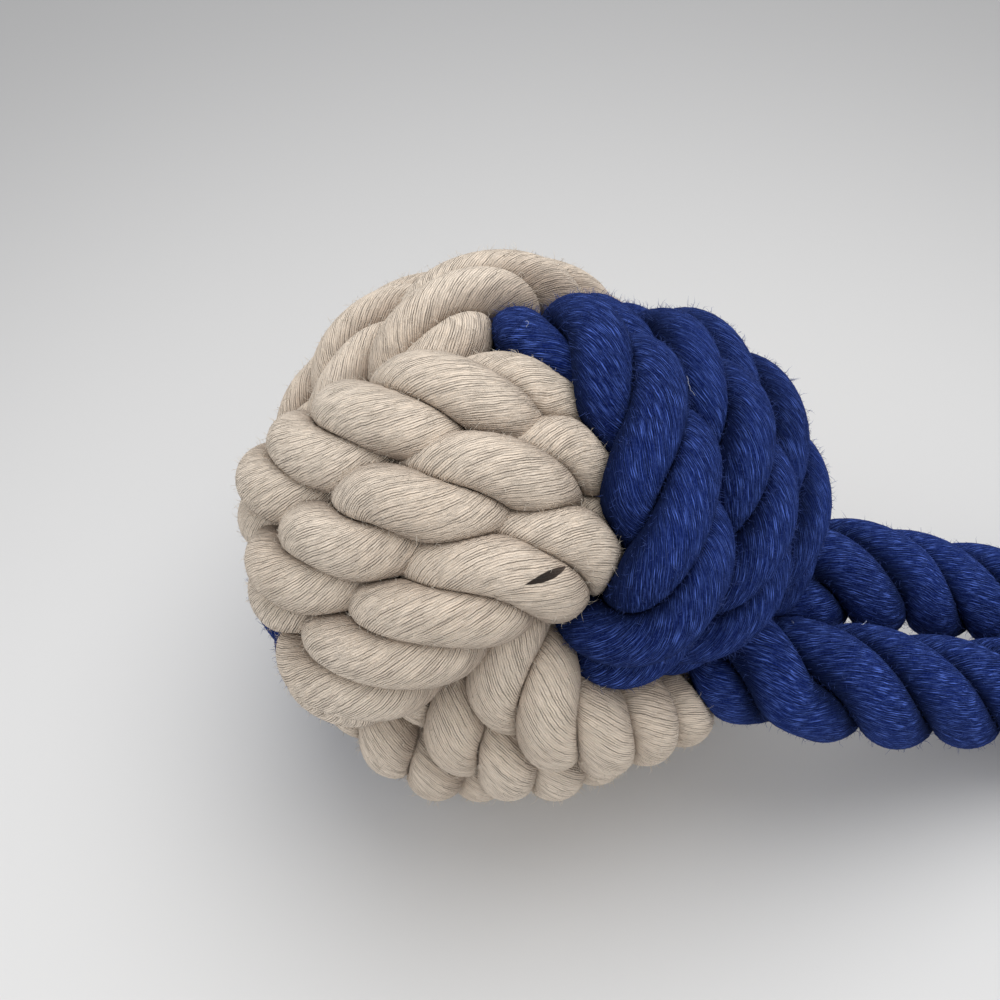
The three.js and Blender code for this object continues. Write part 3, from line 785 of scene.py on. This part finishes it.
def skinOf(names):
    # Points on the surface of the named pieces' strands, and the direction away from each strand's middle
    parts = [part for name in names for part in meshParts[name]]
    surface = np.concatenate([part["vertices"][:-2] for part in parts])
    return surface, unit(surface - np.concatenate([part["middles"] for part in parts]))


def repeated(vertices, quads, caps):
    # The points and faces of many shapes, from the points of each and the faces of the first
    shift = (np.arange(len(vertices)) * vertices.shape[1])[:, None, None]
    return vertices.reshape(-1, 3), [(quads + shift).reshape(-1, 4), (caps + shift).reshape(-1, 3)]


def closedTubes(paths, radii, sides):
    # Round closed tubes along many paths of equal point counts: the points and faces of them all
    count, stations = paths.shape[:2]
    tangent = unit(np.gradient(paths, axis=1))
    first = unit(np.cross(tangent, slantwise))
    ring = spokes(first, np.cross(tangent, first), fullTurn * np.arange(sides) / sides)
    body = paths[:, :, None] + ring * radii[..., None, None]
    vertices = np.concatenate([body.reshape(count, -1, 3), paths[:, [0, -1]]], 1)
    return repeated(vertices, *tubeFaces(stations, sides))


# Lint: pale threads caught on the blue rope
lint = {"count": 34, "length": (1.2, 3.6), "radius": 0.045, "stations": 7, "sides": 3, "curl": 0.9,
        "lift": 0.12, "leastUp": 0.3, "mostBack": 0.6, "lowest": 20}


def lintThreads():
    # Each thread wanders over the surface from a random place, turning a little at every station
    surface, normal = skinOf(("blueBand", "upperTail", "lowerTail"))
    seen = (normal[:, 2] > lint["leastUp"]) & (normal[:, 1] < lint["mostBack"])
    chosen = rng.choice(np.nonzero(seen & (surface[:, 2] > lint["lowest"]))[0], lint["count"])
    normal = normal[chosen]
    heading = unit(np.cross(normal, rng.normal(size=(lint["count"], 3))))
    step = rng.uniform(*lint["length"], (lint["count"], 1)) / (lint["stations"] - 1)
    place, path = surface[chosen] + lint["lift"] * normal, []
    for _ in range(lint["stations"]):
        path.append(place)
        place = place + heading * step
        heading = heading + lint["curl"] * rng.normal(size=(lint["count"], 3))
        heading = unit(squareTo(heading, normal))
    paths = np.stack(path, 1)
    return closedTubes(paths, np.full(paths.shape[:2], lint["radius"]), lint["sides"])


pieces["lint"] = makePiece("lint", *lintThreads(), lintFibre)
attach(pieces["lint"], "root")


# Fuzz: short fibres that stand off the strands where they face outwards
fuzz = {"count": {"frontBand": 12000, "topBand": 14000, "blueBand": 19000,
                  "upperTail": 7000, "lowerTail": 7000},
        "length": (0.7, 2.6), "lengthPower": 1.4, "lengthShare": 0.62, "thickness": 0.034, "bendShare": 0.9,
        "lean": 0.62, "rise": (0.4, 2.4), "leastRise": 0.25, "curl": 0.9, "rootDepth": 0.15,
        "rootAside": 0.35, "leastFacing": 0.25, "lowest": 1, "nearestMiddle": 38}


def needles(root, bend, tip, radius):
    # Closed three-sided needles: a ring at the root, a ring at the bend and a point at the tip
    first = unit(np.cross(bend - root, slantwise))
    second = np.cross(unit(bend - root), first)
    ring = radius * spokes(first, second, fullTurn * np.arange(3) / 3)
    rings = [root[:, None] + ring, bend[:, None] + fuzz["bendShare"] * ring]
    quads = np.array([(0, 1, 4, 3), (1, 2, 5, 4), (2, 0, 3, 5)])
    caps = np.array([(2, 1, 0), (3, 4, 6), (4, 5, 6), (5, 3, 6)])
    return repeated(np.concatenate([*rings, tip[:, None]], 1), quads, caps)


def outwardOf(name, surface):
    # The direction away from the ball's middle, or from the tail's middle line at about the same place
    if name in bands:
        return unit(surface - ballMiddle)
    path = tails[name]["path"]
    share = (surface[:, 0] - path[0, 0]) / (path[-1, 0] - path[0, 0])
    return unit(surface - path[np.clip((share * len(path)).astype(int), 0, len(path) - 1)])


def fuzzOn(name, material):
    # Fibres rooted at random places where a rope's strands face outwards. Each starts between the surface's
    # normal and a random direction, and bends once by a random amount half way along
    surface, normal = skinOf([name])
    facing = (normal * outwardOf(name, surface)).sum(1)
    free = np.nonzero((facing > fuzz["leastFacing"]) & (surface[:, 2] > fuzz["lowest"]))[0]
    if name in bands:
        free = free[np.linalg.norm(surface[free] - ballMiddle, axis=1) > fuzz["nearestMiddle"]]
    count = fuzz["count"][name]
    chosen = rng.choice(free, count)
    normal = normal[chosen]
    beside = squareTo(rng.normal(size=(count, 3)), normal)
    root = surface[chosen] - fuzz["rootDepth"] * normal + fuzz["rootAside"] * beside
    along = unit(rng.normal(size=(count, 3)))
    rise = (1 - fuzz["lean"]) * rng.uniform(*fuzz["rise"], (count, 1))
    start = unit(normal * rise + along * fuzz["lean"])
    start = unit(start + normal * np.maximum(fuzz["leastRise"] - (start * normal).sum(1), 0)[:, None])
    bend = unit(start + fuzz["curl"] * rng.normal(size=(count, 3)))
    length = rng.uniform(*fuzz["length"], (count, 1)) ** fuzz["lengthPower"] * fuzz["lengthShare"]
    middle = root + start * length * 0.5
    fibres = needles(root, middle, middle + bend * length * 0.5, fuzz["thickness"])
    return makePiece(name.replace("Band", "Fuzz").replace("Tail", "Fuzz"), *fibres, material)


for name in fuzz["count"]:
    material = creamFibre if name in ("frontBand", "topBand") else blueFibre
    pieces[name + "Fuzz"] = fuzzOn(name, material)
    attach(pieces[name + "Fuzz"], "root")


# Tassels: loose yarns that spread from each tail's end
tassel = {"yarns": 150, "length": 52, "tie": 19, "mouth": 30, "blunt": 21, "bluntRoom": 4, "mouthShare": 0.8,
          "splay": 7.5, "yarnRadius": 0.85, "radiusSpread": (0.8, 1.15), "endShare": 0.8, "stations": 14,
          "sides": 7, "wave": 0.9, "waveSpeed": (1.2, 3.2), "twist": 0.5, "lengths": (0.86, 1.0),
          "startShare": -0.02, "aboveTable": 0.1}


def tasselYarns(side):
    # Yarns that start inside the tie, on a sunflower's spiral over its section, follow the tassel's outline
    # outwards in proportion, twist and wave a little, and droop so that the mouth rests on the table
    count, stations, mouthPlace = tassel["yarns"], tassel["stations"], tassel["mouthShare"]
    drop = knotHeight - tassel["mouth"] / 2 - knot["seatGap"]
    droop = np.arcsin(drop / (tassel["length"] * mouthPlace))
    share = np.sqrt((np.arange(count) + 0.5) / count)
    angle = np.arange(count) * np.pi * (3 - np.sqrt(5))
    reach = rng.uniform(*tassel["lengths"], count)
    along = np.linspace(tassel["startShare"], 1, stations)[None] * reach[:, None]
    widths = (tassel["tie"], (tassel["tie"] + tassel["mouth"]) / 2, tassel["mouth"],
              tassel["blunt"] + tassel["bluntRoom"])
    outline = np.interp(along, [0, mouthPlace / 2, mouthPlace, 1], np.array(widths) / 2)
    outline -= tassel["yarnRadius"]
    waves = rng.uniform(0, fullTurn, (4, count, 1))
    speed = rng.uniform(*tassel["waveSpeed"], (2, count, 1))
    twist = angle[:, None] + tassel["twist"] * along
    aside = tassel["wave"] * along * np.sin(speed * fullTurn * along + waves[:2])
    y = share[:, None] * outline * np.cos(twist) + aside[0]
    z = share[:, None] * outline * np.sin(twist) + aside[1]
    x = along * tassel["length"]
    splay = np.radians(side * tassel["splay"])
    x, z = x * np.cos(droop) + z * np.sin(droop), z * np.cos(droop) - x * np.sin(droop)
    x, y = x * np.cos(splay) - y * np.sin(splay), y * np.cos(splay) + x * np.sin(splay)
    lean = np.arccos(np.cos(droop) * np.cos(np.radians(tassel["splay"])))
    seat = tailEnd + knot["seatGap"] + tassel["tie"] / 2 * np.sin(lean)
    paths = np.stack([x, y, z], 2) + np.array([seat, knot["middle"] + side * halfSpacing, knotHeight])
    paths[..., 2] = np.maximum(paths[..., 2], tassel["yarnRadius"] + tassel["aboveTable"])
    radii = np.full((count, stations), tassel["yarnRadius"])
    radii *= rng.uniform(*tassel["radiusSpread"], (count, 1))
    radii[:, -1] *= tassel["endShare"]
    return closedTubes(paths, radii, tassel["sides"])


for name, side, node in (("upperTassel", 1, "tassel_upper"), ("lowerTassel", -1, "tassel_lower")):
    pieces[name] = makePiece(name, *tasselYarns(side), blueCotton)
    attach(pieces[name], "root")
    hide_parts(node)
print("fuzz and tassels made")


# Stage: a pale table with a pool of light painted on it, lightest under the toy and darker farther off, and
# soft light from above and behind
stage = {"halfSize": 3.0, "paintedPool": (0.71, 0.71, 0.71), "paintedFalloff": (0.335, 0.335, 0.34),
         "middle": (0.02, -0.07, 0), "lightTo": 0.08, "fartherFrom": 0.33, "roughness": 0.9, "gloss": 0.1,
         "sky": 0.79, "sun": 1.35, "sunAngle": 60, "sunAzimuth": 60, "sunElevation": 70}


def makeTable():
    # A square whose colour goes by a gentle step with distance, from the painted pool of light under the toy
    # to the painted falloff farther off
    half = stage["halfSize"]
    mesh = bpy.data.meshes.new("table")
    corners = [(-half, -half, 0), (half, -half, 0), (half, half, 0), (-half, half, 0)]
    mesh.from_pydata(corners, [], [(0, 1, 2, 3)])
    material, tree, shader, place = newMaterial("tableWithPaintedLight")
    far = vectorMaths(tree, "DISTANCE", place, stage["middle"], "Value")
    span = {"Value": far, "From Min": stage["lightTo"], "From Max": stage["fartherFrom"]}
    eased = added(tree, "MapRange", span, "Result", interpolation_type="SMOOTHSTEP")
    feed(shader, {"Base Color": mixed(tree, eased, stage["paintedPool"], stage["paintedFalloff"]),
                  "Roughness": stage["roughness"], "Specular IOR Level": stage["gloss"]})
    mesh.materials.append(material)
    addObject("table", mesh)


def makeLight():
    # An even white sky and one very soft sun
    world = bpy.data.worlds.new("softLight")
    bpy.context.scene.world = world
    world.use_nodes = True
    feed(world.node_tree.nodes["Background"], {"Color": (1.0, 1.0, 1.0, 1), "Strength": stage["sky"]})
    light = bpy.data.lights.new("window", "SUN")
    light.energy = stage["sun"]
    light.angle = np.radians(stage["sunAngle"])
    towards = fromAngles(stage["sunAzimuth"], stage["sunElevation"])
    side = unit(np.cross([0.0, 0, 1], towards))
    placeAt(addObject("window", light), np.stack([side, np.cross(towards, side), towards], 1), towards)


makeTable()
makeLight()
bpy.context.scene.view_settings.view_transform = "Standard"
print("table and light made")
